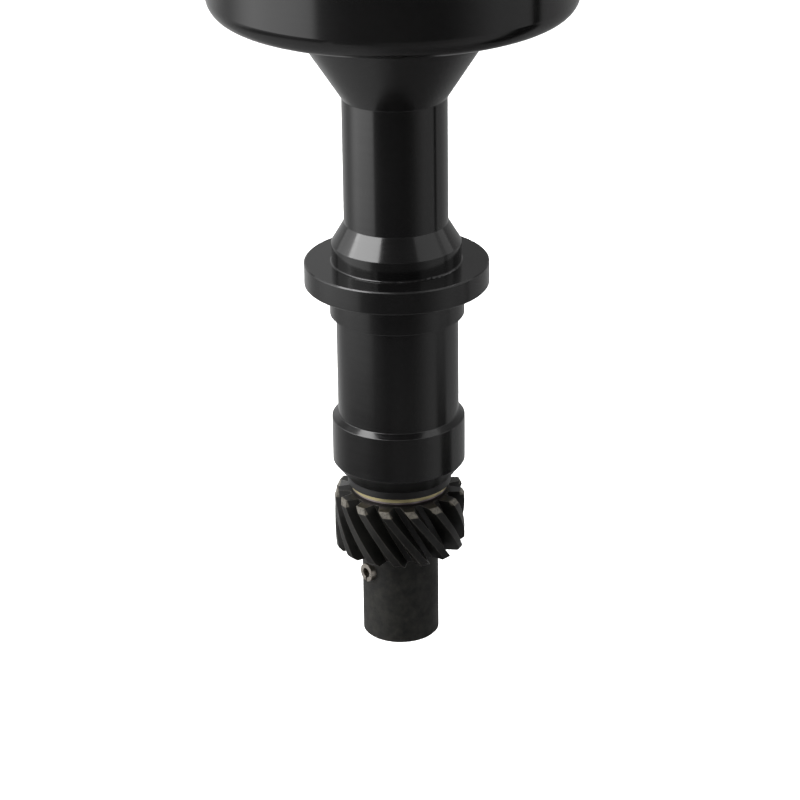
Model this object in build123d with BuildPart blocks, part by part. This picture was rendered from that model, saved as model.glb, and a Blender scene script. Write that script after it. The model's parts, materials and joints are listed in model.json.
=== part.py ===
from build123d import *
import os
from math import asin, atan2, cos, degrees, radians, sin, sqrt, tan

# Ignition distributor for a V8: a slender one-piece housing with a flared bowl, a shaft driven
# by a helical gear, a centrifugal advance, a magnetic pickup, a rotor and a cap.
# Millimetres. +Z runs up the shaft. Z = 0 is the flange's underside, which seats on the block.
# Angles are in degrees from +X, counter-clockwise seen from above.

# Driving sizes: housing below and above the flange
land_radius = 16.87
upper_land_length = 7.8
barrel_radius = 15.32
barrel_length = 27.05
barrel_undercut = 0.4
land_shoulder = 1.05
lower_land_length = 11.75
nose_taper_length = 4.55
nose_radius = 13.27
nose_length = 1.8
flange_radius = 23.1
flange_thickness = 6.0
flange_edge_chamfer = 0.3
collar_radius = 16.2
collar_height = 4.9
collar_foot_radius = 0.4
shoulder_height = 5.4
neck_radius = 12.98
neck_length = 32.05
bore_radius = 7.6

# Driving sizes: bowl
bowl_cone_angle = 33.0
bowl_cone_radius = 27.0
bowl_radius = 45.0
bowl_heel_radius = 5.0
bowl_wall = 4.0
bowl_floor_thickness = 7.5
bowl_depth = 25.0
rim_notch_width = 6.0
rim_notch_depth = 3.0
ear_radius = 5.2
ear_height = 10.0
ear_reach = 5.0

# Driving sizes: shaft, its bearings and the drive gear
shaft_radius = 6.35
bush_radial_gap = 0.03
bush_wall = 1.9
bush_length = 38.0
socket_across_flats = 7.94
socket_depth = 12.0
bearing_radius = 14.29
bearing_width = 7.94
bearing_ball_radius = 2.2
bearing_ball_count = 8
bearing_race_wall = 2.65
bearing_ledge_width = 2.6
bearing_ledge_cone = 2.6
bearing_shield_thickness = 0.4
bearing_shield_inset = 0.4
bearing_ball_gap = 0.1
cage_height = 5.6
cage_wall = 1.4
circlip_thickness = 1.1
circlip_depth = 0.9
circlip_width = 2.2
circlip_opening = 40.0
circlip_cover = 1.2
end_float = 0.05
brass_washer_radius = 12.4
brass_washer_thickness = 1.25
steel_washer_radius = 12.2
steel_washer_thickness = 1.05
washer_bore_gap = 0.15
gear_teeth = 15
gear_outer_radius = 16.72
gear_root_radius = 12.8
gear_face_width = 15.5
gear_lead = 144.0
gear_phase = -81.1
gear_land_angle = 7.6
gear_gap_floor_share = 0.42
gear_gap_middle_share = 0.74
gear_gap_flare = 1.12
gear_gap_overrun = 1.2
gear_gap_sections = 6
gear_top_chamfer_drop = 1.5
gear_top_chamfer_inset = 0.65
gear_bottom_chamfer = 0.8
hub_radius = 9.83
hub_length = 24.95
hub_edge_chamfer = 0.4
roll_pin_radius = 2.38
roll_pin_wall = 1.1
roll_pin_drop = 5.95
roll_pin_proud = 1.3
roll_pin_tail = 0.6
roll_pin_angle = -143.0
roll_pin_slit = 0.5

# Driving sizes: pickup
pickup_plate_margin = 3.0
pickup_plate_bore = 17.0
pickup_plate_thickness = 2.0
plate_screw_inset = 4.5
plate_screw_count = 3
plate_screw_start = 30.0
small_screw_radius = 1.5
small_screw_head_radius = 2.8
small_screw_head_height = 1.8
small_screw_grip = 4.0
pickup_air_gap = 0.5
pickup_inner = 21.5
pickup_body_inset = 2.5
pickup_width = 20.0
pickup_height = 10.0
pickup_corner_radius = 2.0
pickup_edge_chamfer = 1.0
pickup_ear_width = 8.0
pickup_ear_height = 3.0
pickup_pole_width = 3.0
pickup_pole_height = 4.0
pickup_pole_chamfer = 0.6
reluctor_radius = 18.5
reluctor_root_radius = 13.0
reluctor_tooth_width = 2.4
reluctor_thickness = 5.0
reluctor_lift = 3.0
cylinders = 8
grommet_bore = 2.4
grommet_neck_radius = 5.5
grommet_flange_radius = 7.5
grommet_flange_thickness = 2.0
grommet_rise = 12.0
grommet_seat_gap = 0.05

# Driving sizes: centrifugal advance
advance_travel = 10.5
sleeve_gap = 0.05
sleeve_wall = 2.6
sleeve_end_gap = 0.1
spacer_thickness = 1.4
base_lift = 5.0
base_inset = 2.0
base_thickness = 2.0
base_notch_radius = 6.5
slide_gap = 0.15
pivot_inset = 9.0
pivot_radius = 2.4
pivot_gap = 0.05
weight_inner_radius = 13.3
weight_inset = 4.0
weight_heel_angle = -15.0
weight_toe_angle = 115.0
weight_thickness = 3.8
weight_corner_radius = 2.0
retainer_radius = 4.0
retainer_thickness = 0.8
cam_radius = 7.9
cam_reach = 12.6
cam_arm_half_width = 4.0
cam_arm_angle = 60.0
stop_circle = 10.4
stop_bush_radius = 2.2
stop_pin_radius = 1.2
stop_slack = 0.6
spring_post_inset = 5.0
spring_post_angle = 128.0
spring_post_radius = 1.3
spring_cam_post_circle = 9.4
spring_coil_radius = 1.5
spring_wire = 0.6
spring_loop_gap = 0.5
spring_loop_slack = 2.1
spring_hook_gap = 0.1
spring_headroom = 0.7
shaft_clip_radius = 8.0
shaft_clip_thickness = 0.9
shaft_clip_groove = 0.45
shaft_end_height = 2.2
pillar_inset = 3.0
pillar_angle = 150.0
pillar_radius = 3.2

# Driving sizes: rotor and cap
blade_overhang = 1.85
rotor_thickness = 4.0
rotor_clearance = 1.0
rotor_hub_radius = 15.0
rotor_hub_top_radius = 8.0
rotor_arm_height = 10.3
rotor_arm_width = 11.0
rotor_arm_inset = 1.5
rotor_hub_foot_radius = 2.0
rotor_rim_radius = 1.0
rotor_tip_angle = -67.5
rotor_screw_radius = 1.5
rotor_screw_head_radius = 3.0
rotor_screw_head_height = 2.0
rotor_screw_grip = 5.0
blade_width = 7.0
blade_thickness = 1.2
blade_button_radius = 2.8
blade_button_height = 1.0
blade_button_chamfer = 0.3
spark_gap = 1.0
cap_spigot_gap = 0.15
cap_spigot_wall = 1.8
cap_spigot_depth = 2.0
cap_flange_overhang = 3.5
cap_flange_height = 4.5
cap_flange_edge_radius = 0.3
cap_wall_overhang = 1.0
cap_wall_taper = 1.5
cap_top_thickness = 4.0
cap_edge_radius = 3.0
cap_headroom = 9.0
cap_boss_radius = 6.5
cap_boss_drop = 4.0
cap_rib_width = 2.4
cap_rib_height = 5.0
cap_lug_height = 9.0
tower_base_radius = 7.6
tower_top_radius = 6.4
tower_height = 17.0
coil_tower_height = 21.0
electrode_radius = 2.4
electrode_sink = 0.6
electrode_drop = 2.5
terminal_shank_radius = 1.8
terminal_head_radius = 3.2
terminal_head_height = 8.0
terminal_collar_height = 1.2
terminal_head_chamfer = 0.7
key_gap = 0.2
brush_radius = 2.4
brush_gap = 0.08
brush_length = 9.0
brush_travel = 1.5
brush_tip_chamfer = 0.4
brush_spring_closed_length = 4.5
brush_spring_wire = 0.4
brush_spring_turns = 6
brush_spring_gap = 0.35
cap_screw_radius = 2.1
cap_screw_gap = 0.3
cap_screw_head_radius = 4.2
cap_screw_head_height = 3.2
cap_screw_grip = 8.5
screw_slot_width = 0.9
screw_slot_depth = 0.9

# The advance's twin pieces stand half a turn apart
half_turn = 180
twin_turns = (0, half_turn)

# Heights down the housing from the block seat
barrel_top = -upper_land_length - barrel_undercut
barrel_bottom = -upper_land_length - barrel_length
lower_land_top = barrel_bottom - land_shoulder
lower_land_bottom = lower_land_top - lower_land_length
nose_top = lower_land_bottom - nose_taper_length
nose_bottom = nose_top - nose_length

# Heights down the drive end
brass_washer_top = nose_bottom - end_float
steel_washer_top = brass_washer_top - brass_washer_thickness
gear_top = steel_washer_top - steel_washer_thickness
gear_bottom = gear_top - gear_face_width
hub_bottom = gear_bottom - hub_length
roll_pin_height = gear_bottom - roll_pin_drop

# Heights up the housing
collar_top = flange_thickness + collar_height
neck_bottom = collar_top + shoulder_height
neck_top = neck_bottom + neck_length
bowl_underside = neck_top + (bowl_cone_radius - neck_radius) / tan(radians(bowl_cone_angle))
bowl_floor = bowl_underside + bowl_floor_thickness
bowl_rim = bowl_floor + bowl_depth
bowl_bore = bowl_radius - bowl_wall
bearing_top = bowl_floor - circlip_cover - circlip_thickness
bearing_seat = bearing_top - bearing_width
bearing_middle = (bearing_top + bearing_seat) / 2

# Heights inside the bowl
plate_top = bowl_floor + pickup_plate_thickness
reluctor_bottom = plate_top + reluctor_lift
reluctor_top = reluctor_bottom + reluctor_thickness
sleeve_bottom = bearing_top + spacer_thickness + sleeve_end_gap
base_bottom = reluctor_top + base_lift
base_top = base_bottom + base_thickness
weight_bottom = base_top + slide_gap
weight_top = weight_bottom + weight_thickness
spring_height = weight_top + spring_headroom + spring_coil_radius + spring_wire
spring_post_top = spring_height + spring_coil_radius
shaft_top = weight_top + shaft_end_height
rotor_bottom = spring_post_top + rotor_clearance
rotor_top = rotor_bottom + rotor_thickness
blade_bottom = rotor_bottom + rotor_arm_height
blade_top = blade_bottom + blade_thickness
button_top = blade_top + blade_button_height
cap_ceiling = button_top + cap_headroom
cap_top = cap_ceiling + cap_top_thickness
tower_top = cap_top + tower_height
coil_tower_top = cap_top + coil_tower_height

# Lengths and radii that follow from their neighbours
brush_spring_length = brush_spring_closed_length + brush_travel
bush_outer_radius = shaft_radius + bush_radial_gap + bush_wall
sleeve_bore = shaft_radius + sleeve_gap
sleeve_radius = sleeve_bore + sleeve_wall
screw_circle = bowl_radius + ear_reach
spigot_radius = bowl_bore - cap_spigot_gap
cavity_radius = spigot_radius - cap_spigot_wall
terminal_circle = cavity_radius - electrode_radius + electrode_sink
rotor_tip_radius = terminal_circle - electrode_radius - spark_gap
ball_circle = (shaft_radius + bearing_radius) / 2
cap_flange_radius = bowl_radius + cap_flange_overhang
cap_wall_radius = bowl_radius + cap_wall_overhang
cap_top_radius = cap_wall_radius - cap_wall_taper
pickup_plate_radius = bowl_bore - pickup_plate_margin
pickup_outer = pickup_plate_radius - pickup_body_inset
plate_screw_circle = pickup_plate_radius - plate_screw_inset
rotor_radius = rotor_tip_radius - blade_overhang
base_radius = rotor_radius - base_inset
weight_outer_radius = base_radius - weight_inset
pivot_circle = base_radius - pivot_inset
pillar_circle = base_radius - pillar_inset
spring_post_circle = base_radius - spring_post_inset


def corners(profile, *points):
    """The vertices of a sketch nearest to the given points of its own plane."""
    return [profile.vertices().sort_by_distance((x, y, 0))[0] for x, y in points]


def polar(radius, angle):
    """The X and Y of a point given by its radius and angle about the shaft."""
    return (radius * cos(radians(angle)), radius * sin(radians(angle)))


def finish(piece, name):
    """Label a finished piece and write it to its own file."""
    piece.part.label = name
    export_step(piece.part, f"parts/{name}.step")


def ring(outer_radius, inner_radius, bottom, top):
    """A plain washer or tube about the shaft's axis."""
    with BuildPart() as piece:
        with BuildSketch(Plane.XY.offset(bottom)):
            Circle(outer_radius)
            Circle(inner_radius, mode=Mode.SUBTRACT)
        extrude(amount=top - bottom)
    return piece


def slotted_screws(places, seat, head_radius, head_height, shank_radius, grip):
    """Cheese-head screws that stand on a seat height, with a slot across each head."""
    with BuildPart() as piece:
        with BuildSketch(Plane.XY.offset(seat)):
            with Locations(*places):
                Circle(head_radius)
        extrude(amount=head_height)
        with BuildSketch(Plane.XY.offset(seat)):
            with Locations(*places):
                Circle(shank_radius)
        extrude(amount=-grip)
        with BuildSketch(Plane.XY.offset(seat + head_height)):
            with Locations(*places):
                Rectangle(2 * (head_radius + screw_slot_width), screw_slot_width)
        extrude(amount=-screw_slot_depth, mode=Mode.SUBTRACT)
    return piece


os.makedirs("parts", exist_ok=True)

# ---------------------------------------------------------------- housing and what is fixed in it

cap_screw_places = [(screw_circle, 0), (-screw_circle, 0)]
plate_screw_places = [
    polar(plate_screw_circle, plate_screw_start + turn * 360 / plate_screw_count)
    for turn in range(plate_screw_count)
]
grommet_height = bowl_floor + grommet_rise

with BuildPart() as housing:
    with BuildSketch(Plane.XZ) as housing_profile:
        with BuildLine():
            Polyline(
                (bush_outer_radius, nose_bottom),
                (nose_radius, nose_bottom),
                (nose_radius, nose_top),
                (land_radius, lower_land_bottom),
                (land_radius, lower_land_top),
                (barrel_radius, barrel_bottom),
                (barrel_radius, barrel_top),
                (land_radius, -upper_land_length),
                (land_radius, 0),
                (flange_radius, 0),
                (flange_radius, flange_thickness),
                (collar_radius, flange_thickness),
                (collar_radius, collar_top),
                (neck_radius, neck_bottom),
                (neck_radius, neck_top),
                (bowl_cone_radius, bowl_underside),
                (bowl_radius, bowl_underside),
                (bowl_radius, bowl_rim),
                (bowl_bore, bowl_rim),
                (bowl_bore, bowl_floor),
                (bearing_radius, bowl_floor),
                (bearing_radius, bearing_top + circlip_thickness),
                (bearing_radius + circlip_depth, bearing_top + circlip_thickness),
                (bearing_radius + circlip_depth, bearing_top),
                (bearing_radius, bearing_top),
                (bearing_radius, bearing_seat),
                (bearing_radius - bearing_ledge_width, bearing_seat),
                (bore_radius, bearing_seat - bearing_ledge_cone),
                (bore_radius, nose_bottom + bush_length),
                (bush_outer_radius, nose_bottom + bush_length),
                close=True,
            )
        make_face()
        fillet(corners(housing_profile, (bowl_radius, bowl_underside)), bowl_heel_radius)
        fillet(corners(housing_profile, (bowl_cone_radius, bowl_underside)), bowl_heel_radius)
        fillet(corners(housing_profile, (collar_radius, flange_thickness)), collar_foot_radius)
        rim_corners = corners(housing_profile, (flange_radius, 0), (flange_radius, flange_thickness))
        chamfer(rim_corners, flange_edge_chamfer)
    revolve(axis=Axis.Z)
    # Ears for the cap's two screws, webbed to the bowl's wall
    with BuildSketch(Plane.XY.offset(bowl_rim)):
        with Locations(*cap_screw_places):
            Circle(ear_radius)
        web_start = bowl_radius - bowl_wall / 2
        for side in (1, -1):
            with Locations((side * (web_start + screw_circle) / 2, 0)):
                Rectangle(screw_circle - web_start, 2 * ear_radius)
    extrude(amount=-ear_height)
    # Tapped holes for the cap's screws, through the ears, and for the pickup plate's, blind
    with BuildSketch(Plane.XY.offset(bowl_rim)):
        with Locations(*cap_screw_places):
            Circle(cap_screw_radius)
    extrude(amount=-ear_height, mode=Mode.SUBTRACT)
    with BuildSketch(Plane.XY.offset(bowl_floor)):
        with Locations(*plate_screw_places):
            Circle(small_screw_radius)
    extrude(amount=-small_screw_grip, mode=Mode.SUBTRACT)
    # Entry for the pickup lead's grommet, at the back
    with BuildSketch(Plane(origin=(0, bowl_radius + bowl_wall, grommet_height), z_dir=(0, -1, 0))):
        Circle(grommet_neck_radius)
    extrude(amount=3 * bowl_wall, mode=Mode.SUBTRACT)
    # Notch that the cap's key drops into, at the front
    with BuildSketch(Plane.XY.offset(bowl_rim)):
        with Locations((0, -(bowl_bore + bowl_radius) / 2)):
            Rectangle(rim_notch_width, 2 * bowl_wall)
    extrude(amount=-rim_notch_depth, mode=Mode.SUBTRACT)
finish(housing, "housing")

lower_bushing = ring(
    bush_outer_radius, shaft_radius + bush_radial_gap, nose_bottom, nose_bottom + bush_length
)
finish(lower_bushing, "lower_bushing")

# ---------------------------------------------------------------- upper ball bearing

inner_race_radius = shaft_radius + bearing_race_wall
outer_race_bore = bearing_radius - bearing_race_wall
race_groove_radius = bearing_ball_radius + bearing_ball_gap


def race(outer_radius, inner_radius):
    """A bearing race: a ring with a groove for the balls."""
    with BuildPart() as piece:
        with BuildSketch(Plane.XZ):
            with Locations(((outer_radius + inner_radius) / 2, bearing_middle)):
                Rectangle(outer_radius - inner_radius, bearing_width)
            with Locations((ball_circle, bearing_middle)):
                Circle(race_groove_radius, mode=Mode.SUBTRACT)
        revolve(axis=Axis.Z)
    return piece


finish(race(bearing_radius, outer_race_bore), "bearing_outer_race")
finish(race(inner_race_radius, shaft_radius), "bearing_inner_race")

with BuildPart() as bearing_balls:
    with Locations((0, 0, bearing_middle)):
        with PolarLocations(ball_circle, bearing_ball_count):
            Sphere(bearing_ball_radius)
finish(bearing_balls, "bearing_balls")

with BuildPart() as bearing_cage:
    with BuildSketch(Plane.XY.offset(bearing_middle - cage_height / 2)):
        Circle(ball_circle + cage_wall / 2)
        Circle(ball_circle - cage_wall / 2, mode=Mode.SUBTRACT)
    extrude(amount=cage_height)
    with Locations((0, 0, bearing_middle)):
        with PolarLocations(ball_circle, bearing_ball_count):
            Cylinder(race_groove_radius, 2 * cage_wall, rotation=(0, 90, 0), mode=Mode.SUBTRACT)
finish(bearing_cage, "bearing_cage")

shield_bore = inner_race_radius + bearing_ball_gap
with BuildPart() as bearing_shields:
    lower_shield = bearing_seat + bearing_shield_inset
    upper_shield = bearing_top - bearing_shield_inset - bearing_shield_thickness
    for shield_height in (lower_shield, upper_shield):
        with BuildSketch(Plane.XY.offset(shield_height)):
            Circle(outer_race_bore)
            Circle(shield_bore, mode=Mode.SUBTRACT)
        extrude(amount=bearing_shield_thickness)
finish(bearing_shields, "bearing_shields")

with BuildPart() as bearing_circlip:
    circlip_outer = bearing_radius + circlip_depth
    with BuildSketch(Plane.XY.offset(bearing_top)):
        Circle(circlip_outer)
        Circle(circlip_outer - circlip_width, mode=Mode.SUBTRACT)
        with BuildLine():
            gap_edge = 2 * circlip_outer
            Polyline(
                (0, 0),
                polar(gap_edge, 90 - circlip_opening / 2),
                polar(gap_edge, 90 + circlip_opening / 2),
                close=True,
            )
        make_face(mode=Mode.SUBTRACT)
    extrude(amount=circlip_thickness)
finish(bearing_circlip, "bearing_circlip")

# ---------------------------------------------------------------- drive shaft and drive gear

with BuildPart() as drive_shaft:
    with BuildSketch(Plane.XY.offset(hub_bottom)):
        Circle(shaft_radius)
    extrude(amount=shaft_top - hub_bottom)
    chamfer(drive_shaft.edges().group_by(Axis.Z)[-1], hub_edge_chamfer)
    # Hexagon socket that drives the oil pump's shaft
    with BuildSketch(Plane.XY.offset(hub_bottom)):
        RegularPolygon(socket_across_flats / 2, 6, major_radius=False)
    extrude(amount=socket_depth, mode=Mode.SUBTRACT)
    # Cross hole for the gear's roll pin
    pin_direction = (*polar(1, roll_pin_angle), 0)
    with BuildSketch(Plane(origin=(0, 0, roll_pin_height), z_dir=pin_direction)):
        Circle(roll_pin_radius)
    extrude(amount=2 * shaft_radius, both=True, mode=Mode.SUBTRACT)
    # Groove for the clip that keeps the cam on
    with BuildSketch(Plane.XY.offset(weight_top)):
        Circle(2 * shaft_radius)
        Circle(shaft_radius - shaft_clip_groove, mode=Mode.SUBTRACT)
    extrude(amount=shaft_clip_thickness, mode=Mode.SUBTRACT)
finish(drive_shaft, "drive_shaft")

gear_pitch = 360 / gear_teeth
gap_mouth_angle = gear_pitch - gear_land_angle
gap_floor_angle = gap_mouth_angle * gear_gap_floor_share
gap_middle_angle = gap_mouth_angle * gear_gap_middle_share


def gap_outline(turn):
    """One tooth gap's outline across the gear, turned about the axis."""
    mouth_radius = gear_outer_radius + gear_gap_overrun
    middle_radius = (gear_outer_radius + gear_root_radius) / 2
    # The flanks go on outward past the tips, so that the cut is clean at the rim
    flare = gap_mouth_angle * gear_gap_flare
    with BuildLine() as outline:
        right = ThreePointArc(
            polar(gear_root_radius, turn - gap_floor_angle / 2),
            polar(middle_radius, turn - gap_middle_angle / 2),
            polar(mouth_radius, turn - flare / 2),
        )
        left = ThreePointArc(
            polar(gear_root_radius, turn + gap_floor_angle / 2),
            polar(middle_radius, turn + gap_middle_angle / 2),
            polar(mouth_radius, turn + flare / 2),
        )
        Line(right @ 1, left @ 1)
        Line(left @ 0, right @ 0)
    return outline


with BuildPart() as tooth_gap:
    cut_top = gear_top + gear_gap_overrun
    cut_bottom = gear_bottom - gear_gap_overrun
    for section in range(gear_gap_sections):
        height = cut_top + (cut_bottom - cut_top) * section / (gear_gap_sections - 1)
        # Left hand: the teeth turn counter-clockwise as they go down
        section_turn = gear_phase + gear_pitch / 2 + (gear_top - height) * 360 / gear_lead
        with BuildSketch(Plane.XY.offset(height)):
            add(gap_outline(section_turn).line)
            make_face()
    loft()

with BuildPart() as drive_gear:
    with BuildSketch(Plane.XZ) as gear_profile:
        with BuildLine():
            Polyline(
                (shaft_radius, gear_top),
                (gear_outer_radius - gear_top_chamfer_inset, gear_top),
                (gear_outer_radius, gear_top - gear_top_chamfer_drop),
                (gear_outer_radius, gear_bottom + gear_bottom_chamfer),
                (gear_outer_radius - gear_bottom_chamfer, gear_bottom),
                (hub_radius, gear_bottom),
                (hub_radius, hub_bottom + hub_edge_chamfer),
                (hub_radius - hub_edge_chamfer, hub_bottom),
                (shaft_radius, hub_bottom),
                close=True,
            )
        make_face()
    revolve(axis=Axis.Z)
    with PolarLocations(0, gear_teeth):
        add(tooth_gap.part, mode=Mode.SUBTRACT)
    with BuildSketch(Plane(origin=(0, 0, roll_pin_height), z_dir=pin_direction)):
        Circle(roll_pin_radius)
    extrude(amount=2 * hub_radius, both=True, mode=Mode.SUBTRACT)
finish(drive_gear, "drive_gear")

with BuildPart() as gear_roll_pin:
    roll_pin_start = Plane(
        origin=(*polar(-hub_radius - roll_pin_tail, roll_pin_angle), roll_pin_height),
        z_dir=pin_direction,
    )
    with BuildSketch(roll_pin_start):
        Circle(roll_pin_radius)
        Circle(roll_pin_radius - roll_pin_wall, mode=Mode.SUBTRACT)
        with Locations((0, -roll_pin_radius)):
            Rectangle(roll_pin_slit, 2 * roll_pin_radius, mode=Mode.SUBTRACT)
    extrude(amount=2 * hub_radius + roll_pin_tail + roll_pin_proud)
finish(gear_roll_pin, "gear_roll_pin")

washer_bore = shaft_radius + washer_bore_gap
brass_thrust_washer = ring(brass_washer_radius, washer_bore, steel_washer_top, brass_washer_top)
finish(brass_thrust_washer, "brass_thrust_washer")
steel_shim_washer = ring(steel_washer_radius, washer_bore, gear_top, steel_washer_top)
finish(steel_shim_washer, "steel_shim_washer")
sleeve_spacer = ring(
    inner_race_radius, washer_bore, bearing_top, bearing_top + spacer_thickness
)
finish(sleeve_spacer, "sleeve_spacer")

# ---------------------------------------------------------------- magnetic pickup

pickup_screw_reach = (pickup_width + pickup_ear_width) / 2
pickup_screw_places = [
    (side * pickup_screw_reach, (pickup_inner + pickup_outer) / 2) for side in (1, -1)
]
pole_middle = (reluctor_bottom + reluctor_top) / 2
pole_tip = reluctor_radius + pickup_air_gap

with BuildPart() as pickup_plate:
    with BuildSketch(Plane.XY.offset(bowl_floor)):
        Circle(pickup_plate_radius)
        Circle(pickup_plate_bore, mode=Mode.SUBTRACT)
        with Locations(*plate_screw_places, *pickup_screw_places):
            Circle(small_screw_radius, mode=Mode.SUBTRACT)
    extrude(amount=pickup_plate_thickness)
finish(pickup_plate, "pickup_plate")

plate_screws = slotted_screws(
    plate_screw_places,
    plate_top,
    small_screw_head_radius,
    small_screw_head_height,
    small_screw_radius,
    pickup_plate_thickness + small_screw_grip,
)
finish(plate_screws, "plate_screws")

with BuildPart() as pickup_body:
    body_middle = (pickup_inner + pickup_outer) / 2
    with BuildSketch(Plane.XY.offset(plate_top)) as pickup_outline:
        with Locations((0, body_middle)):
            Rectangle(pickup_width, pickup_outer - pickup_inner)
        fillet(pickup_outline.vertices(), pickup_corner_radius)
    extrude(amount=pickup_height)
    chamfer(pickup_body.edges().group_by(Axis.Z)[-1], pickup_edge_chamfer)
    # Ears on both sides for the two screws
    with BuildSketch(Plane.XY.offset(plate_top)):
        with Locations((0, body_middle)):
            SlotCenterToCenter(2 * pickup_screw_reach, pickup_ear_width)
        with Locations(*pickup_screw_places):
            Circle(small_screw_radius, mode=Mode.SUBTRACT)
    extrude(amount=pickup_ear_height)
    # The pole piece lies in a slot through the moulding
    with BuildSketch(Plane.XY.offset(pole_middle - pickup_pole_height / 2)):
        with Locations((0, body_middle - (pickup_outer - body_middle) / 2)):
            Rectangle(pickup_pole_width, (pickup_outer - pickup_inner) / 2)
    extrude(amount=pickup_pole_height, mode=Mode.SUBTRACT)
finish(pickup_body, "pickup_body")

with BuildPart() as pickup_pole:
    pole_length = body_middle - pole_tip
    with BuildSketch(Plane.XY.offset(pole_middle - pickup_pole_height / 2)):
        with Locations((0, (body_middle + pole_tip) / 2)):
            Rectangle(pickup_pole_width, pole_length)
    extrude(amount=pickup_pole_height)
    chamfer(pickup_pole.edges().filter_by(Axis.Z).group_by(Axis.Y)[0], pickup_pole_chamfer)
finish(pickup_pole, "pickup_pole")

pickup_screws = slotted_screws(
    pickup_screw_places,
    plate_top + pickup_ear_height,
    small_screw_head_radius,
    small_screw_head_height,
    small_screw_radius,
    pickup_ear_height + pickup_plate_thickness,
)
finish(pickup_screws, "pickup_screws")

with BuildPart() as lead_grommet:
    # Flanges inside and outside the curved wall, joined by a neck that fills the hole
    inner_seat = sqrt(bowl_bore**2 - grommet_flange_radius**2) - grommet_seat_gap
    inner_end = inner_seat - grommet_flange_thickness
    outer_end = bowl_radius + grommet_flange_thickness
    with BuildSketch(Plane.XY):
        with BuildLine():
            Polyline(
                (grommet_bore, inner_end),
                (grommet_flange_radius, inner_end),
                (grommet_flange_radius, inner_seat),
                (grommet_neck_radius, inner_seat),
                (grommet_neck_radius, bowl_radius),
                (grommet_flange_radius, bowl_radius),
                (grommet_neck_radius, outer_end + grommet_flange_thickness),
                (grommet_bore, outer_end + grommet_flange_thickness),
                close=True,
            )
        make_face()
    revolve(axis=Axis.Y)
lead_grommet.part.locate(Location((0, 0, grommet_height)))
finish(lead_grommet, "lead_grommet")

# ---------------------------------------------------------------- centrifugal advance

pivot_places = [(pivot_circle, 0), (-pivot_circle, 0)]
pillar_places = [polar(pillar_circle, pillar_angle + turn) for turn in twin_turns]
spring_post_places = [polar(spring_post_circle, spring_post_angle + turn) for turn in twin_turns]
cam_post_places = [polar(spring_cam_post_circle, cam_arm_angle + turn) for turn in twin_turns]
retainer_bottom = weight_top + slide_gap
pivot_top = retainer_bottom + retainer_thickness
# The stop's bush meets the arm's flank just past full advance
stop_reach = degrees(asin((cam_arm_half_width + stop_bush_radius) / stop_circle))
stop_angle = cam_arm_angle + half_turn - stop_reach - advance_travel - stop_slack
stop_place = polar(stop_circle, stop_angle)

with BuildPart() as advance_base:
    with BuildSketch(Plane.XY.offset(sleeve_bottom)):
        Circle(sleeve_radius)
        Circle(sleeve_bore, mode=Mode.SUBTRACT)
    extrude(amount=base_bottom - sleeve_bottom)
    with BuildSketch(Plane.XY.offset(base_bottom)):
        Circle(base_radius)
        Circle(sleeve_bore, mode=Mode.SUBTRACT)
        # Rounded notches that lighten the plate under the weights' toes
        with PolarLocations(base_radius, 2, start_angle=90):
            Circle(base_notch_radius, mode=Mode.SUBTRACT)
    extrude(amount=base_thickness)
    # Posts: weight pivots, spring posts, the stop's pin and the rotor's pillars
    with BuildSketch(Plane.XY.offset(base_top)):
        with Locations(*pivot_places):
            Circle(pivot_radius)
    extrude(amount=pivot_top - base_top)
    with BuildSketch(Plane.XY.offset(base_top)):
        with Locations(*spring_post_places):
            Circle(spring_post_radius)
    extrude(amount=spring_post_top - base_top)
    with BuildSketch(Plane.XY.offset(base_top)):
        with Locations(stop_place):
            Circle(stop_pin_radius)
    extrude(amount=weight_top - base_top)
    with BuildSketch(Plane.XY.offset(base_top)):
        with Locations(*pillar_places):
            Circle(pillar_radius)
    extrude(amount=rotor_bottom - base_top)
    with BuildSketch(Plane.XY.offset(rotor_bottom)):
        with Locations(*pillar_places):
            Circle(rotor_screw_radius)
    extrude(amount=-rotor_screw_grip, mode=Mode.SUBTRACT)
finish(advance_base, "advance_base")

with BuildPart() as reluctor:
    with BuildSketch(Plane.XY.offset(reluctor_bottom)):
        Circle(reluctor_root_radius)
        # The teeth are in line with the cap's terminals
        with PolarLocations((reluctor_root_radius + reluctor_radius) / 2, cylinders, 90):
            Rectangle(2 * (reluctor_radius - reluctor_root_radius), reluctor_tooth_width)
        Circle(reluctor_radius, mode=Mode.INTERSECT)
        Circle(sleeve_radius, mode=Mode.SUBTRACT)
    extrude(amount=reluctor_thickness)
finish(reluctor, "reluctor")


def advance_weight(turn):
    """A curved weight that swings outward on its pivot; turn places it about the shaft."""
    with BuildPart() as piece:
        with BuildSketch(Plane.XY.offset(weight_bottom)) as outline:
            Circle(weight_outer_radius)
            Circle(weight_inner_radius, mode=Mode.SUBTRACT)
            with BuildLine():
                heel = weight_heel_angle + turn
                toe = weight_toe_angle + turn
                sector_reach = 2 * weight_outer_radius
                Polyline(
                    (0, 0),
                    polar(sector_reach, heel),
                    polar(sector_reach, (heel + toe) / 2),
                    polar(sector_reach, toe),
                    close=True,
                )
            make_face(mode=Mode.INTERSECT)
            fillet(outline.vertices(), weight_corner_radius)
            with Locations(polar(pivot_circle, turn)):
                Circle(pivot_radius + pivot_gap, mode=Mode.SUBTRACT)
        extrude(amount=weight_thickness)
    return piece


finish(advance_weight(twin_turns[0]), "advance_weight_a")
finish(advance_weight(twin_turns[1]), "advance_weight_b")

with BuildPart() as weight_retainers:
    with BuildSketch(Plane.XY.offset(retainer_bottom)):
        with Locations(*pivot_places):
            Circle(retainer_radius)
            Circle(pivot_radius, mode=Mode.SUBTRACT)
    extrude(amount=retainer_thickness)
finish(weight_retainers, "weight_retainers")

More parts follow.
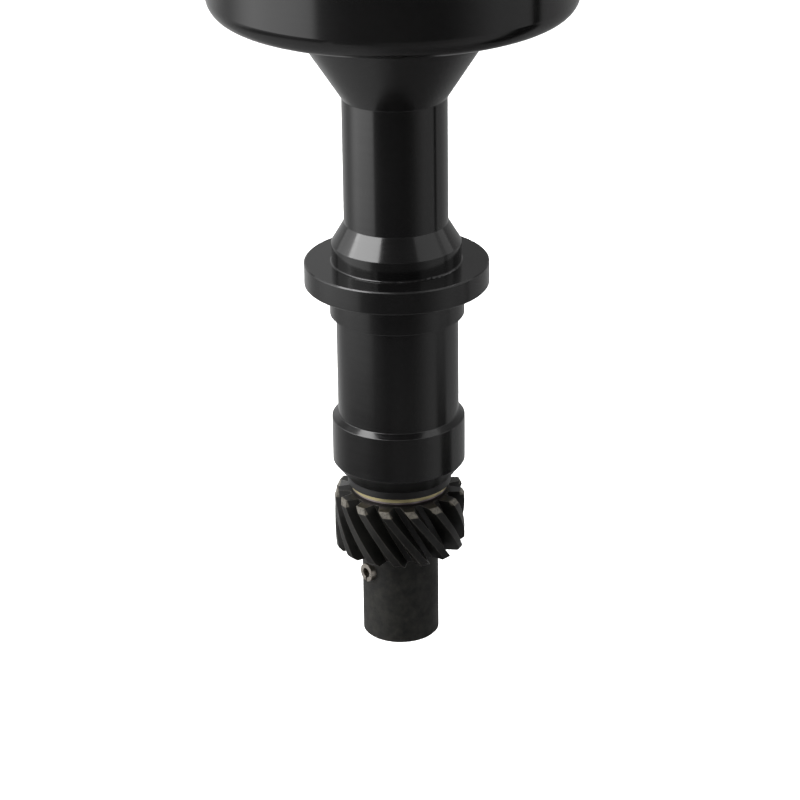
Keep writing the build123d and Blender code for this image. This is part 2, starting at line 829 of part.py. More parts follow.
with BuildPart() as stop_bush:
    with BuildSketch(Plane.XY.offset(weight_bottom)):
        with Locations(stop_place):
            Circle(stop_bush_radius)
            Circle(stop_pin_radius, mode=Mode.SUBTRACT)
    extrude(amount=weight_thickness)
finish(stop_bush, "stop_bush")

with BuildPart() as centre_cam:
    with BuildSketch(Plane.XY.offset(weight_bottom)):
        Circle(cam_radius)
        arm_centre = cam_reach - cam_arm_half_width
        with Locations(Location((0, 0, 0), (0, 0, cam_arm_angle))):
            SlotCenterToCenter(2 * arm_centre, 2 * cam_arm_half_width)
        Circle(shaft_radius, mode=Mode.SUBTRACT)
    extrude(amount=weight_thickness)
    with BuildSketch(Plane.XY.offset(weight_top)):
        with Locations(*cam_post_places):
            Circle(spring_post_radius)
    extrude(amount=spring_post_top - weight_top)
finish(centre_cam, "centre_cam")

shaft_clip = ring(
    shaft_clip_radius,
    shaft_radius - shaft_clip_groove,
    weight_top,
    weight_top + shaft_clip_thickness,
)
finish(shaft_clip, "shaft_clip")


def advance_spring(turn):
    """A coiled spring's envelope between two posts, with a round and a long end loop."""
    start_x, start_y = polar(spring_post_circle, spring_post_angle + turn)
    end_x, end_y = polar(spring_cam_post_circle, cam_arm_angle + turn)
    span = sqrt((end_x - start_x) ** 2 + (end_y - start_y) ** 2)
    heading = degrees(atan2(end_y - start_y, end_x - start_x))
    loop_bore = spring_post_radius + spring_loop_gap
    loop_radius = loop_bore + spring_wire
    along = Plane(origin=(start_x, start_y, spring_height), x_dir=(*polar(1, heading), 0))
    across = Plane(along.origin, z_dir=along.x_dir)
    with BuildPart() as piece:
        with BuildSketch(across.offset(loop_bore)):
            Circle(spring_coil_radius)
            Circle(spring_coil_radius - spring_wire, mode=Mode.SUBTRACT)
        extrude(amount=span - 2 * loop_bore)
        with BuildSketch(along.offset(-spring_wire / 2)):
            Circle(loop_radius)
            with Locations((span + spring_loop_slack / 2, 0)):
                SlotCenterToCenter(spring_loop_slack, 2 * loop_radius)
            Circle(spring_post_radius + spring_hook_gap, mode=Mode.SUBTRACT)
            with Locations((span + spring_loop_slack / 2, 0)):
                SlotCenterToCenter(spring_loop_slack, 2 * loop_bore, mode=Mode.SUBTRACT)
        extrude(amount=spring_wire)
    return piece


finish(advance_spring(twin_turns[0]), "advance_spring_a")
finish(advance_spring(twin_turns[1]), "advance_spring_b")

# ---------------------------------------------------------------- rotor

with BuildPart() as rotor:
    with BuildSketch(Plane.XZ) as rotor_profile:
        with BuildLine():
            Polyline(
                (0, rotor_bottom),
                (rotor_radius, rotor_bottom),
                (rotor_radius, rotor_top),
                (rotor_hub_radius, rotor_top),
                (rotor_hub_top_radius, blade_bottom),
                (0, blade_bottom),
                close=True,
            )
        make_face()
        fillet(corners(rotor_profile, (rotor_hub_radius, rotor_top)), rotor_hub_foot_radius)
        fillet(corners(rotor_profile, (rotor_radius, rotor_top)), rotor_rim_radius)
    revolve(axis=Axis.Z)
    # Arm that carries the blade out to the rim
    arm_length = rotor_radius - rotor_arm_inset
    with BuildSketch(Plane.XY.offset(rotor_bottom)):
        with Locations(Location((0, 0, 0), (0, 0, rotor_tip_angle))):
            with Locations((arm_length / 2, 0)):
                Rectangle(arm_length, rotor_arm_width)
    extrude(amount=rotor_arm_height)
    with BuildSketch(Plane.XY.offset(rotor_bottom)):
        with Locations(*pillar_places):
            Circle(rotor_screw_radius)
    extrude(amount=rotor_thickness, mode=Mode.SUBTRACT)
finish(rotor, "rotor")

with BuildPart() as rotor_blade:
    with BuildSketch(Plane.XY.offset(blade_bottom)):
        with Locations(Location((0, 0, 0), (0, 0, rotor_tip_angle))):
            Circle(blade_width / 2)
            with Locations((rotor_tip_radius / 2, 0)):
                Rectangle(rotor_tip_radius, blade_width)
        Circle(rotor_tip_radius, mode=Mode.INTERSECT)
    extrude(amount=blade_thickness)
    with BuildSketch(Plane.XY.offset(blade_top)):
        Circle(blade_button_radius)
    extrude(amount=blade_button_height)
    chamfer(rotor_blade.edges().group_by(Axis.Z)[-1], blade_button_chamfer)
finish(rotor_blade, "rotor_blade")

rotor_screws = slotted_screws(
    pillar_places,
    rotor_top,
    rotor_screw_head_radius,
    rotor_screw_head_height,
    rotor_screw_radius,
    rotor_thickness + rotor_screw_grip,
)
finish(rotor_screws, "rotor_screws")

# ---------------------------------------------------------------- cap and its contacts


def terminal(lower_end, head_seat):
    """A terminal on the Z axis: electrode below, waisted shank in the tower, stud head on top."""
    with BuildPart() as piece:
        with BuildSketch(Plane.XZ) as outline:
            with BuildLine():
                head_bottom = head_seat + terminal_collar_height
                Polyline(
                    (0, lower_end),
                    (electrode_radius, lower_end),
                    (electrode_radius, cap_top),
                    (terminal_shank_radius, cap_top),
                    (terminal_shank_radius, head_seat),
                    (tower_top_radius - terminal_collar_height, head_seat),
                    (tower_top_radius - terminal_collar_height, head_bottom),
                    (terminal_head_radius, head_bottom),
                    (terminal_head_radius, head_bottom + terminal_head_height),
                    (0, head_bottom + terminal_head_height),
                    close=True,
                )
            make_face()
            head_edge = (terminal_head_radius, head_bottom + terminal_head_height)
            chamfer(corners(outline, head_edge), terminal_head_chamfer)
        revolve(axis=Axis.Z)
    return piece


plug_terminal = terminal(blade_bottom - electrode_drop, tower_top)
terminal_start = half_turn / cylinders
with BuildPart() as plug_terminals:
    with PolarLocations(terminal_circle, cylinders, terminal_start):
        add(plug_terminal.part)
finish(plug_terminals, "plug_terminals")

on_base = (Align.CENTER, Align.CENTER, Align.MIN)
brush_seat = button_top + end_float
brush_top = brush_seat + brush_length
spring_seat = brush_top + brush_spring_length
coil_terminal = terminal(spring_seat, coil_tower_top)
finish(coil_terminal, "coil_terminal")

with BuildPart() as carbon_brush:
    with BuildSketch(Plane.XY.offset(brush_seat)):
        Circle(brush_radius)
    extrude(amount=brush_length)
    chamfer(carbon_brush.edges().group_by(Axis.Z)[0], brush_tip_chamfer)
finish(carbon_brush, "carbon_brush")

with BuildPart() as brush_spring:
    spring_pitch = (brush_spring_length - 2 * brush_spring_wire) / brush_spring_turns
    coil_centre = brush_radius - brush_spring_gap - brush_spring_wire / 2
    with BuildLine():
        coil = Helix(
            pitch=spring_pitch,
            height=spring_pitch * brush_spring_turns,
            radius=coil_centre,
            center=(0, 0, brush_top + brush_spring_wire),
        )
    with BuildSketch(Plane(origin=coil @ 0, z_dir=coil % 0)):
        RegularPolygon(brush_spring_wire / 2, 6)
    sweep(is_frenet=True)
finish(brush_spring, "brush_spring")

with BuildPart() as distributor_cap:
    with BuildSketch(Plane.XZ) as cap_profile:
        with BuildLine():
            Polyline(
                (0, cap_ceiling - cap_boss_drop),
                (cap_boss_radius, cap_ceiling - cap_boss_drop),
                (cap_boss_radius, cap_ceiling),
                (cavity_radius, cap_ceiling),
                (cavity_radius, bowl_rim - cap_spigot_depth),
                (spigot_radius, bowl_rim - cap_spigot_depth),
                (spigot_radius, bowl_rim),
                (cap_flange_radius, bowl_rim),
                (cap_flange_radius, bowl_rim + cap_flange_height),
                (cap_wall_radius, bowl_rim + cap_flange_height),
                (cap_top_radius, cap_top),
                (0, cap_top),
                close=True,
            )
        make_face()
        fillet(corners(cap_profile, (cap_top_radius, cap_top)), cap_edge_radius)
        flange_edge = (cap_flange_radius, bowl_rim + cap_flange_height)
        fillet(corners(cap_profile, flange_edge), cap_flange_edge_radius)
    revolve(axis=Axis.Z)
    # Towers for the plug leads and the coil lead, tied together by ribs
    with Locations((0, 0, cap_top)):
        with PolarLocations(terminal_circle, cylinders, terminal_start):
            Cone(tower_base_radius, tower_top_radius, tower_height, align=on_base)
        Cone(tower_base_radius, tower_top_radius, coil_tower_height, align=on_base)
    with BuildSketch(Plane.XY.offset(cap_top)):
        with PolarLocations(terminal_circle / 2, cylinders, terminal_start):
            Rectangle(terminal_circle, cap_rib_width)
    extrude(amount=cap_rib_height)
    # Lugs over the bowl's ears, with clear holes for the screws
    with BuildSketch(Plane.XY.offset(bowl_rim)):
        for side in (1, -1):
            with Locations((side * screw_circle, 0)):
                Circle(ear_radius)
            with Locations((side * (spigot_radius + screw_circle) / 2, 0)):
                Rectangle(screw_circle - spigot_radius, 2 * ear_radius)
    extrude(amount=cap_lug_height)
    with BuildSketch(Plane.XY.offset(bowl_rim)):
        Circle(cavity_radius)
    extrude(amount=cap_ceiling - cap_boss_drop - bowl_rim, mode=Mode.SUBTRACT)
    with BuildSketch(Plane.XY.offset(bowl_rim)):
        with Locations(*cap_screw_places):
            Circle(cap_screw_radius + cap_screw_gap)
    extrude(amount=cap_lug_height, mode=Mode.SUBTRACT)
    # Key for the rim's notch
    with BuildSketch(Plane.XY.offset(bowl_rim)):
        with Locations((0, -(cavity_radius + bowl_radius) / 2)):
            Rectangle(rim_notch_width - 2 * key_gap, bowl_radius - cavity_radius)
    extrude(amount=-rim_notch_depth + key_gap)
    # Guide for the carbon brush and its spring, and the terminals' own seats
    with BuildSketch(Plane.XY.offset(cap_ceiling - cap_boss_drop)):
        Circle(brush_radius + brush_gap)
    extrude(amount=spring_seat - cap_ceiling + cap_boss_drop, mode=Mode.SUBTRACT)
    add(plug_terminals.part, mode=Mode.SUBTRACT)
    add(coil_terminal.part, mode=Mode.SUBTRACT)
finish(distributor_cap, "distributor_cap")

cap_screws = slotted_screws(
    cap_screw_places,
    bowl_rim + cap_lug_height,
    cap_screw_head_radius,
    cap_screw_head_height,
    cap_screw_radius,
    cap_lug_height + cap_screw_grip,
)
finish(cap_screws, "cap_screws")
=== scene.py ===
import json
import math

import bpy
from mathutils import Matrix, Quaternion, Vector


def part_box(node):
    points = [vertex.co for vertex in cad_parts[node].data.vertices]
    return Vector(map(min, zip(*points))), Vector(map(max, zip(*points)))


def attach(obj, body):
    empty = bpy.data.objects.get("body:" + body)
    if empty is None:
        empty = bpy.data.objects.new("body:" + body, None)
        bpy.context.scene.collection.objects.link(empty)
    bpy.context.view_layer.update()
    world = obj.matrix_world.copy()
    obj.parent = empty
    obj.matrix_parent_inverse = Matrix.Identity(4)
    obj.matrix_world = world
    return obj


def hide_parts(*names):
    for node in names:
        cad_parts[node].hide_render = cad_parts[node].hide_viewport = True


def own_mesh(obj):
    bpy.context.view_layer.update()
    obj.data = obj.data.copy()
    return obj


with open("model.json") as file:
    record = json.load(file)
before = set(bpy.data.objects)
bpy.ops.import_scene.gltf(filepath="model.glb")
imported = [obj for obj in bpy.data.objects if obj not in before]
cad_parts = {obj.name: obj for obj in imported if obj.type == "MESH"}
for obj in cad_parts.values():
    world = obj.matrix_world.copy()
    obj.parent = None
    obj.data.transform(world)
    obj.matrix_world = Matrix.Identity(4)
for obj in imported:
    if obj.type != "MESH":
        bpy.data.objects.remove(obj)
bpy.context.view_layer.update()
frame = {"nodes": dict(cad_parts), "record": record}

# ---------------------------------------------------------------- places taken from the frame
MM = 0.001
housing_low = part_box("housing")[0]
gear_low, gear_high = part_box("drive_gear")
shim_low, shim_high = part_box("steel_shim_washer")
floor_drop = 300.0 * MM                        # the part hangs this far above the floor
floor_height = gear_low.z - floor_drop
nose_top = housing_low.z + 6.3 * MM            # the housing's matt nose ends here
hub_top = gear_low.z + 24.95 * MM              # the gear's plain hub ends here
tooth_rub_bottom = gear_high.z - 1.45 * MM     # the tops of the teeth are rubbed above this height
tooth_rub_radius = 15.75 * MM                  # and outside this radius
shim_shade_level = shim_low.z + 0.45 * (shim_high.z - shim_low.z)    # painted shade darkens the shim washer below this, next to the gear's face


# ---------------------------------------------------------------- camera
def add_camera():
    """A long lens that looks down on the housing from the front, as the photo's does."""
    distance = 667.4 * MM
    height = 259.08 * MM
    pitch = math.radians(23.58)
    yaw = math.radians(0.035)
    roll = math.radians(-0.735)
    focal_pixels = 2869.5
    frame_pixels = 800
    data = bpy.data.cameras.new("camera")
    data.sensor_width = 36.0
    data.lens = data.sensor_width * focal_pixels / frame_pixels
    data.clip_start = 0.01
    data.clip_end = 20.0
    camera = bpy.data.objects.new("camera", data)
    bpy.context.scene.collection.objects.link(camera)
    camera.location = (0.0, -distance, height)
    look = Vector((math.sin(yaw) * math.cos(pitch), math.cos(yaw) * math.cos(pitch), -math.sin(pitch)))
    turn = look.to_track_quat("-Z", "Y") @ Quaternion((0.0, 0.0, 1.0), roll)
    camera.rotation_euler = turn.to_euler()
    bpy.context.scene.camera = camera


# ---------------------------------------------------------------- shader nodes
class NodeTree:
    """Adds nodes to one tree; each method returns the socket that it drives."""

    def __init__(self, tree):
        self.tree = tree

    def node(self, kind):
        return self.tree.nodes.new(kind)

    def link(self, source, target):
        self.tree.links.new(source, target)

    def split(self, vector):
        """The three components of a vector."""
        parts = self.node("ShaderNodeSeparateXYZ")
        self.link(vector, parts.inputs["Vector"])
        return parts.outputs["X"], parts.outputs["Y"], parts.outputs["Z"]

    def spread(self, value, low, high, to_low, to_high, curve="LINEAR"):
        """Maps a value from one range to another, held at its ends."""
        ranged = self.node("ShaderNodeMapRange")
        ranged.interpolation_type = curve
        ranged.inputs["From Min"].default_value = low
        ranged.inputs["From Max"].default_value = high
        ranged.inputs["To Min"].default_value = to_low
        ranged.inputs["To Max"].default_value = to_high
        self.link(value, ranged.inputs["Value"])
        return ranged.outputs["Result"]

    def math(self, operation, first, second):
        """One step of arithmetic on sockets or plain numbers."""
        step = self.node("ShaderNodeMath")
        step.operation = operation
        for value, socket in zip((first, second), step.inputs):
            if isinstance(value, (int, float)):
                socket.default_value = value
            else:
                self.link(value, socket)
        return step.outputs["Value"]

    def total(self, first, *others):
        for other in others:
            first = self.math("ADD", first, other)
        return first

    def product(self, first, *others):
        for other in others:
            first = self.math("MULTIPLY", first, other)
        return first


class Shader(NodeTree):
    """Builds one surface material."""

    def __init__(self, name):
        self.material = bpy.data.materials.new(name)
        self.material.use_nodes = True
        super().__init__(self.material.node_tree)
        self.surface = self.tree.nodes["Principled BSDF"]
        self.place = self.node("ShaderNodeTexCoord").outputs["Object"]

    def stretched(self, x, y, z):
        """Object coordinates scaled unevenly, so that a pattern runs along one direction."""
        mapping = self.node("ShaderNodeMapping")
        mapping.inputs["Scale"].default_value = (x, y, z)
        self.link(self.place, mapping.inputs["Vector"])
        return mapping.outputs["Vector"]

    def noise(self, scale, detail=4.0, roughness=0.55, place=None):
        texture = self.node("ShaderNodeTexNoise")
        texture.inputs["Scale"].default_value = scale
        texture.inputs["Detail"].default_value = detail
        texture.inputs["Roughness"].default_value = roughness
        self.link(place or self.place, texture.inputs["Vector"])
        return texture.outputs["Fac"]

    def over_noise(self, noise, to_low, to_high):
        """Maps the middle of a noise's values, where most of them lie, to a range."""
        return self.spread(noise, 0.3, 0.7, to_low, to_high)

    def mix(self, factor, first, second):
        """Blends two colours, each given as red, green, blue or as a socket."""
        blend = self.node("ShaderNodeMix")
        blend.data_type = "RGBA"
        self.link(factor, blend.inputs["Factor"])
        for colour, socket in ((first, blend.inputs["A"]), (second, blend.inputs["B"])):
            if isinstance(colour, tuple):
                socket.default_value = (*colour, 1.0)
            else:
                self.link(colour, socket)
        return blend.outputs["Result"]

    def rounded(self, radius):
        """The normal of the surface as if its sharp edges were broken by this radius."""
        bevel = self.node("ShaderNodeBevel")
        bevel.samples = 6
        bevel.inputs["Radius"].default_value = radius
        return bevel.outputs["Normal"]

    def edges(self, radius, strength):
        """The strength along sharp edges, where the rounded normal leans away, and 0 on open faces."""
        cosine_flat = 0.995
        cosine_sharp = 0.9
        geometry = self.node("ShaderNodeNewGeometry")
        turn = self.node("ShaderNodeVectorMath")
        turn.operation = "DOT_PRODUCT"
        self.link(self.rounded(radius), turn.inputs[0])
        self.link(geometry.outputs["Normal"], turn.inputs[1])
        return self.spread(turn.outputs["Value"], cosine_flat, cosine_sharp, 0.0, strength)

    def bump(self, height, distance, strength, normal=None):
        lump = self.node("ShaderNodeBump")
        lump.inputs["Strength"].default_value = strength
        lump.inputs["Distance"].default_value = distance
        self.link(height, lump.inputs["Height"])
        if normal is not None:
            self.link(normal, lump.inputs["Normal"])
        return lump.outputs["Normal"]

    def finish(self, colour, roughness, normal, metallic=0.0, ior=1.5):
        """Connects what varies and sets what doesn't on the shader's own sockets."""
        for value, name in ((colour, "Base Color"), (roughness, "Roughness"), (normal, "Normal")):
            self.link(value, self.surface.inputs[name])
        self.surface.inputs["Metallic"].default_value = metallic
        self.surface.inputs["IOR"].default_value = ior
        return self.material


# ---------------------------------------------------------------- materials
def anodised_billet():
    """Gloss black anodising over fine turning marks, worn paler on the sharp edges."""
    shader = Shader("anodised_black")
    cloud = shader.noise(scale=60.0)
    fine = shader.noise(scale=900.0, detail=2.0)
    rings = shader.noise(scale=1.0, detail=2.0, roughness=0.5, place=shader.stretched(30.0, 30.0, 2200.0))
    height = shader.split(shader.place)[2]
    tint = shader.mix(cloud, (0.0035, 0.0035, 0.0038), (0.0065, 0.0063, 0.0062))
    worn = shader.edges(radius=0.25 * MM, strength=0.30)
    worn = shader.product(worn, shader.spread(fine, 0.35, 0.7, 0.5, 1.0))
    colour = shader.mix(worn, tint, (0.14, 0.14, 0.14))
    # The nose below the lower land is left as turned, so it is less bright
    fade = 0.3 * MM
    nose = shader.spread(height, nose_top - fade, nose_top + fade, 0.25, 0.0)
    rough = shader.total(shader.over_noise(cloud, 0.12, 0.16), shader.over_noise(rings, -0.02, 0.02), nose)
    normal = shader.bump(rings, distance=0.02 * MM, strength=0.03, normal=shader.rounded(0.2 * MM))
    return shader.finish(colour, rough, normal, ior=1.55)


def metal(name, dark, light, rough, edge=(0.8, 0.8, 0.8), metallic=1.0, edge_radius=0.12, shade_level=None):
    """Bare or plated metal with a turned grain, clouded colour and edges of their own colour.

    The edge radius is in mm. Where a level is given, the metal below it is darkened with painted shade.
    """
    shader = Shader(name)
    cloud = shader.noise(scale=120.0)
    lines = shader.noise(scale=1.0, detail=3.0, roughness=0.6, place=shader.stretched(40.0, 40.0, 4000.0))
    tint = shader.mix(shader.over_noise(cloud, 0.0, 1.0), dark, light)
    colour = shader.mix(shader.edges(radius=edge_radius * 1.2 * MM, strength=0.6), tint, edge)
    # Painted shade: below the level the colour is darkened to near black, toward the part the metal rests on
    if shade_level is not None:
        fade = 0.15 * MM
        height = shader.split(shader.place)[2]
        painted_shade = shader.spread(height, shade_level, shade_level + fade, 0.92, 0.0)
        colour = shader.mix(painted_shade, colour, (0.020, 0.018, 0.016))
    roughness = shader.total(shader.over_noise(cloud, rough * 0.85, rough * 1.2),
                             shader.over_noise(lines, -0.05, 0.05))
    normal = shader.bump(lines, distance=0.02 * MM, strength=0.12, normal=shader.rounded(edge_radius * MM))
    return shader.finish(colour, roughness, normal, metallic=metallic)


def gear_steel():
    """Dark phosphated steel, wet with oil in patches and rubbed along the teeth's edges."""
    shader = Shader("gear_dark")
    cloud = shader.noise(scale=180.0)
    fine = shader.noise(scale=1600.0, detail=3.0)
    hobbing = shader.noise(scale=1.0, detail=2.0, roughness=0.5, place=shader.stretched(200.0, 200.0, 2600.0))
    across, along, height = shader.split(shader.place)
    tint = shader.mix(shader.over_noise(cloud, 0.0, 1.0), (0.0045, 0.0043, 0.0039), (0.0090, 0.0086, 0.0075))
    colour = shader.mix(shader.edges(radius=0.22 * MM, strength=0.3), tint, (0.20, 0.19, 0.17))
    # The hub below the teeth is duller, and stained a little brown
    fade = 0.05 * MM
    hub = shader.spread(height, hub_top - fade, hub_top + fade, 1.0, 0.0)
    stains = shader.noise(scale=420.0, detail=5.0, roughness=0.65)
    stains = shader.spread(stains, 0.35, 0.68, 0.0, 1.0)
    stained = shader.mix(stains, (0.0040, 0.0039, 0.0036), (0.0155, 0.0148, 0.0115))
    colour = shader.mix(hub, colour, stained)
    # The chamfered tops of the teeth are rubbed to bare metal
    radius = shader.total(shader.product(across, across), shader.product(along, along))
    radius = shader.math("POWER", radius, 0.5)
    rise = 0.1 * MM
    reach = 0.15 * MM
    rubbed = shader.product(
        shader.spread(height, tooth_rub_bottom - rise, tooth_rub_bottom + rise, 0.0, 1.0),
        shader.spread(radius, tooth_rub_radius - reach, tooth_rub_radius + reach, 0.0, 1.0),
        shader.spread(fine, 0.3, 0.6, 0.35, 1.0),
    )
    colour = shader.mix(rubbed, colour, (0.13, 0.12, 0.10))
    rough = shader.total(shader.over_noise(cloud, 0.30, 0.48), shader.over_noise(fine, -0.04, 0.06),
                         shader.product(hub, 0.18))
    normal = shader.bump(hobbing, distance=0.03 * MM, strength=0.22, normal=shader.rounded(0.18 * MM))
    normal = shader.bump(fine, distance=0.02 * MM, strength=0.18, normal=normal)
    return shader.finish(colour, rough, normal, ior=1.42)


def moulding(name, dark, light, rough):
    """Moulded plastic or rubber: faint flow clouds, a fine skin texture and softened edges."""
    shader = Shader(name)
    flow = shader.noise(scale=35.0, detail=3.0)
    skin = shader.noise(scale=2600.0, detail=2.0)
    colour = shader.mix(shader.over_noise(flow, 0.0, 1.0), dark, light)
    roughness = shader.over_noise(flow, rough * 0.85, rough * 1.15)
    normal = shader.bump(skin, distance=0.03 * MM, strength=0.15, normal=shader.rounded(0.4 * MM))
    return shader.finish(colour, roughness, normal)


def floor_sheet():
    """Plain pale matt paper."""
    shader = Shader("floor_pale")
    cloud = shader.noise(scale=4.0, detail=2.0)
    fine = shader.noise(scale=220.0, detail=2.0)
    colour = shader.mix(cloud, (0.90, 0.90, 0.90), (0.93, 0.93, 0.93))
    rough = shader.over_noise(cloud, 0.75, 0.85)
    normal = shader.bump(fine, distance=0.02 * MM, strength=0.05)
    return shader.finish(colour, rough, normal, ior=1.3)


def slot_materials():
    """One material for each of the record's slots, most with a dark colour, a light one and a roughness."""
    return {
        "anodised_billet": anodised_billet(),
        "sintered_bronze": metal("bronze", (0.30, 0.17, 0.07), (0.45, 0.27, 0.12), 0.45),
        "bearing_steel": metal("bearing_steel", (0.45, 0.45, 0.45), (0.6, 0.6, 0.6), 0.2),
        "cage_steel": metal("cage_steel", (0.35, 0.35, 0.34), (0.5, 0.5, 0.48), 0.35),
        "spring_steel": metal("spring_steel", (0.16, 0.16, 0.16), (0.3, 0.3, 0.3), 0.35),
        "plated_steel": metal("plated_steel", (0.45, 0.42, 0.34), (0.6, 0.57, 0.48), 0.35),
        "zinc_screws": metal("zinc", (0.16, 0.16, 0.155), (0.24, 0.24, 0.23), 0.45,
                             edge=(0.45, 0.45, 0.44)),
        "pickup_moulding": moulding("pickup_nylon", (0.008, 0.008, 0.009), (0.016, 0.016, 0.018), 0.5),
        "black_rubber": moulding("rubber", (0.010, 0.010, 0.010), (0.020, 0.019, 0.018), 0.65),
        "cap_moulding": moulding("cap_thermoset", (0.008, 0.008, 0.009), (0.014, 0.014, 0.015), 0.28),
        "terminal_brass": metal("brass", (0.50, 0.34, 0.12), (0.72, 0.53, 0.24), 0.28,
                                edge=(0.9, 0.75, 0.45)),
        "shaft_steel": metal("shaft_steel", (0.22, 0.21, 0.2), (0.38, 0.37, 0.36), 0.3),
        "white_nylon": moulding("white_nylon", (0.62, 0.60, 0.54), (0.74, 0.72, 0.66), 0.45),
        "black_nylon": moulding("black_nylon", (0.010, 0.010, 0.010), (0.020, 0.020, 0.020), 0.45),
        "gear_steel": gear_steel(),
        "pin_steel": metal("pin_steel", (0.42, 0.38, 0.33), (0.62, 0.58, 0.52), 0.3,
                           edge=(0.16, 0.14, 0.12), edge_radius=0.2),
        "washer_brass": metal("washer_brass", (0.56, 0.48, 0.25), (0.70, 0.62, 0.36), 0.45,
                              edge=(0.80, 0.73, 0.50), metallic=0.55, edge_radius=0.4),
        "washer_steel": metal("washer_steel", (0.36, 0.30, 0.31), (0.50, 0.43, 0.44), 0.42,
                              edge=(0.8, 0.75, 0.76), metallic=0.8, edge_radius=0.3,
                              shade_level=shim_shade_level),
        "reluctor_steel": metal("reluctor_steel", (0.28, 0.28, 0.27), (0.42, 0.42, 0.4), 0.35),
        "rotor_moulding": moulding("rotor_thermoset", (0.010, 0.010, 0.011), (0.018, 0.018, 0.019), 0.35),
        "weight_steel": metal("weight_steel", (0.40, 0.34, 0.18), (0.58, 0.50, 0.30), 0.35),
        "carbon": moulding("carbon", (0.010, 0.010, 0.011), (0.022, 0.022, 0.023), 0.55),
    }


# ---------------------------------------------------------------- pieces
def dress_nodes():
    """Every CAD node gets the material of its slot."""
    materials = slot_materials()
    for part in frame["record"]["subparts"]:
        node = frame["nodes"][part["node"]]
        for holder in node.material_slots:
            holder.material = materials[part["material_slot"]]


def add_brush_spring():
    """The spring behind the carbon brush, as its own copy of the CAD mesh carried by the housing."""
    node = frame["nodes"]["brush_spring"]
    spring = bpy.data.objects.new("brush_spring_coil", node.data.copy())
    bpy.context.scene.collection.objects.link(spring)
    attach(spring, "housing")
    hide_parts("brush_spring")
    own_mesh(spring)


def add_floor():
    """A plain pale sheet that the part doesn't mirror."""
    half = 9.0
    corners = [(x, y, floor_height) for x, y in ((-half, -half), (half, -half), (half, half), (-half, half))]
    mesh = bpy.data.meshes.new("floor")
    mesh.from_pydata(corners, [], [(0, 1, 2, 3)])
    mesh.materials.append(floor_sheet())
    floor = bpy.data.objects.new("floor", mesh)
    bpy.context.scene.collection.objects.link(floor)
    floor.visible_glossy = False


# ---------------------------------------------------------------- lights
def area_light(name, place, aim, size, radiance):
    """A soft rectangular light of a known brightness that points from its place to its aim."""
    data = bpy.data.lights.new(name, "AREA")
    data.shape = "RECTANGLE"
    data.size, data.size_y = size
    data.energy = radiance * math.pi * size[0] * size[1]
    light = bpy.data.objects.new(name, data)
    bpy.context.scene.collection.objects.link(light)
    light.location = place
    light.rotation_euler = (Vector(aim) - Vector(place)).to_track_quat("-Z", "Y").to_euler()
    return light


def soft_box(name, bearing, distance, height, size, radiance):
    """An upright light that faces the shaft. Bearing 0 is the camera's side, and + is to the right."""
    turn = math.radians(bearing)
    place = (distance * math.sin(turn), -distance * math.cos(turn), height)
    area_light(name, place, (0.0, 0.0, height), size, radiance)


def add_lights():
    """Soft boxes at the left and right, panels overhead and behind, and a wash over the floor."""
    soft_box("key_high", bearing=-65.0, distance=0.75, height=0.72, size=(0.87, 0.74), radiance=5.8)
    soft_box("key_side", bearing=-106.0, distance=0.80, height=0.45, size=(0.60, 0.60), radiance=0.9)
    soft_box("fill_high", bearing=80.0, distance=0.80, height=0.62, size=(1.25, 0.94), radiance=0.55)
    area_light("top_left", place=(-0.48, 0.0, 1.1), aim=(-0.48, 0.0, 0.0), size=(0.55, 0.70), radiance=5.0)
    area_light("top_right", place=(0.55, 0.0, 1.1), aim=(0.55, 0.0, 0.0), size=(0.50, 0.70), radiance=0.7)
    area_light("back_left", place=(-0.5, 1.0, 0.38), aim=(-0.5, 0.0, 0.38), size=(1.0, 0.5), radiance=0.22)
    wash = area_light("floor_wash", place=(0.0, 1.0, 1.1), aim=(0.0, 1.0, floor_height),
                      size=(1.4, 1.8), radiance=2.2736)
    wash.data.spread = math.radians(90.0)


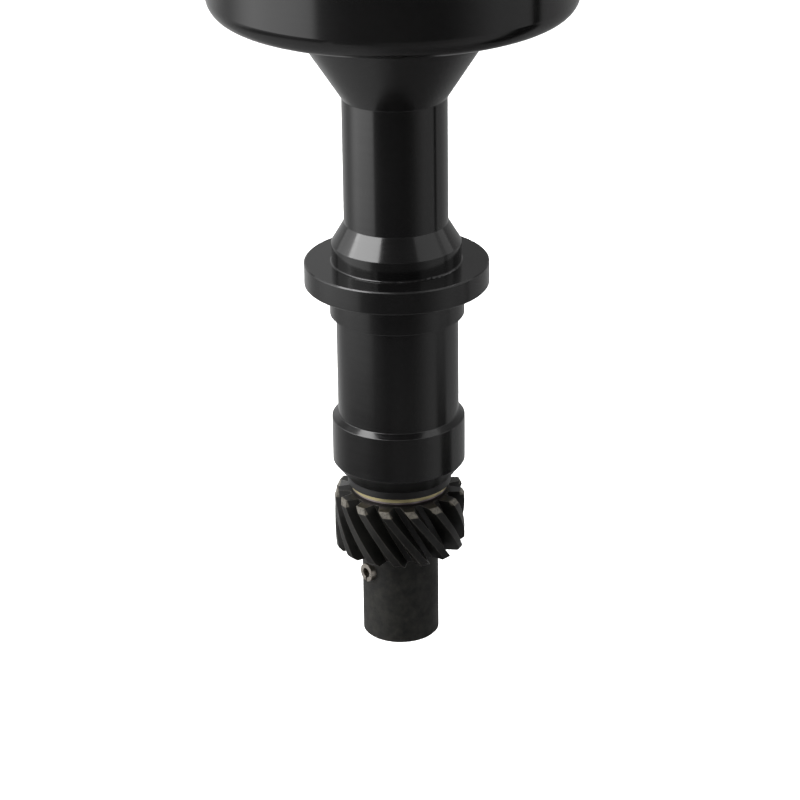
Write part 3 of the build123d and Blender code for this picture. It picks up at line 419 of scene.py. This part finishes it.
# ---------------------------------------------------------------- the studio round the part
class Studio(NodeTree):
    """The light from all round, by direction: right, back and up each run from -1 to 1."""

    def __init__(self, world):
        world.use_nodes = True
        super().__init__(world.node_tree)
        directions = self.node("ShaderNodeTexCoord").outputs["Generated"]
        self.right, self.back, self.up = self.split(directions)
        self.backdrop = self.tree.nodes["Background"]

    def ramp(self, value, low, high, to_low, to_high):
        """A soft step from one level to another."""
        return self.spread(value, low, high, to_low, to_high, "SMOOTHSTEP")

    def band(self, value, rise, fall, level=1.0):
        """The level between a soft rise and a soft fall, and 0 outside them."""
        return self.product(self.ramp(value, *rise, 0.0, level), self.ramp(value, *fall, 1.0, 0.0))

    def less(self, light, share):
        """The light with a share of it taken away."""
        return self.product(light, self.math("SUBTRACT", 1.0, share))

    def walls(self):
        """Walls all round: dim to the front, brighter to the left, with two brighter corners behind."""
        walls = self.product(
            self.ramp(self.back, -0.90, -0.35, 0.05, 0.43),
            self.ramp(self.right, -0.60, 0.30, 1.45, 1.0),
            self.ramp(self.back, -0.10, 0.85, 1.0, 0.65),
            self.ramp(self.up, -0.47, -0.34, 0.6, 1.0),
            self.ramp(self.up, 0.10, 0.30, 1.0, 0.70),
        )
        left_corner = self.product(
            self.ramp(self.back, 0.50, 0.85, 0.0, 0.20),
            self.ramp(self.right, -0.25, 0.0, 1.0, 0.0),
        )
        right_corner = self.product(
            self.ramp(self.back, 0.35, 0.75, 0.0, 0.10),
            self.ramp(self.right, 0.0, 0.25, 0.0, 1.0),
            self.ramp(self.up, -0.385, -0.355, 0.0, 1.0),
        )
        return self.total(walls, left_corner, right_corner)

    def screen(self):
        """A tall bright screen on the left that ends just below the flange."""
        return self.product(
            self.band(self.back, (-0.68, -0.60), (0.0, 0.50), 1.25),
            self.ramp(self.right, -0.2, 0.0, 1.0, 0.0),
            self.ramp(self.up, -0.38, -0.325, 0.0, 1.0),
        )

    def low_glow(self):
        """A faint glow from low down, with a brighter card at the front left."""
        card = self.product(
            self.band(self.back, (-0.92, -0.76), (-0.74, -0.55)),
            self.ramp(self.right, -0.45, -0.15, 1.0, 0.0),
            self.ramp(self.up, -0.42, -0.36, 0.15, 0.0),
        )
        return self.total(self.ramp(self.up, -0.42, -0.36, 0.12, 0.0), card)

    def gaps(self):
        """Upright dark gaps between the walls on the right: a narrow one above, a wide one below."""
        narrow = self.product(
            self.band(self.back, (0.02, 0.07), (0.15, 0.20)),
            self.ramp(self.up, -0.36, -0.35, 0.0, 1.0),
        )
        wide = self.product(
            self.band(self.back, (-0.27, -0.10), (0.14, 0.30)),
            self.ramp(self.up, -0.41, -0.38, 1.0, 0.0),
        )
        return self.product(self.total(narrow, wide), self.ramp(self.right, 0.5, 0.6, 0.0, 1.0))

    def low_shade(self):
        """The left wall is darker near the ground, except in its far corner."""
        return self.product(
            self.ramp(self.up, -0.415, -0.385, 0.72, 0.0),
            self.ramp(self.up, -0.60, -0.50, 0.0, 1.0),
            self.ramp(self.right, -0.4, 0.0, 1.0, 0.0),
            self.ramp(self.back, 0.05, 0.65, 1.0, 0.0),
        )

    def ground_shade(self):
        """The ground straight below is darker, most of all on the right."""
        return self.product(
            self.ramp(self.up, -0.95, -0.60, 1.0, 0.0),
            self.ramp(self.right, -0.30, 0.10, 0.1, 0.7),
        )

    def light_up(self):
        """All the light, less the gaps and shades, becomes the strength of a white background."""
        light = self.total(self.walls(), self.screen(), self.low_glow())
        light = self.less(light, self.total(self.gaps(), self.low_shade()))
        light = self.less(light, self.ground_shade())
        self.backdrop.inputs["Color"].default_value = (1.0, 1.0, 1.0, 1.0)
        self.link(light, self.backdrop.inputs["Strength"])


def add_studio():
    """The world that lights the part and that it mirrors."""
    world = bpy.data.worlds.new("studio")
    Studio(world).light_up()
    bpy.context.scene.world = world


add_camera()
dress_nodes()
add_brush_spring()
add_floor()
add_lights()
add_studio()
bpy.context.scene.view_settings.view_transform = "Standard"
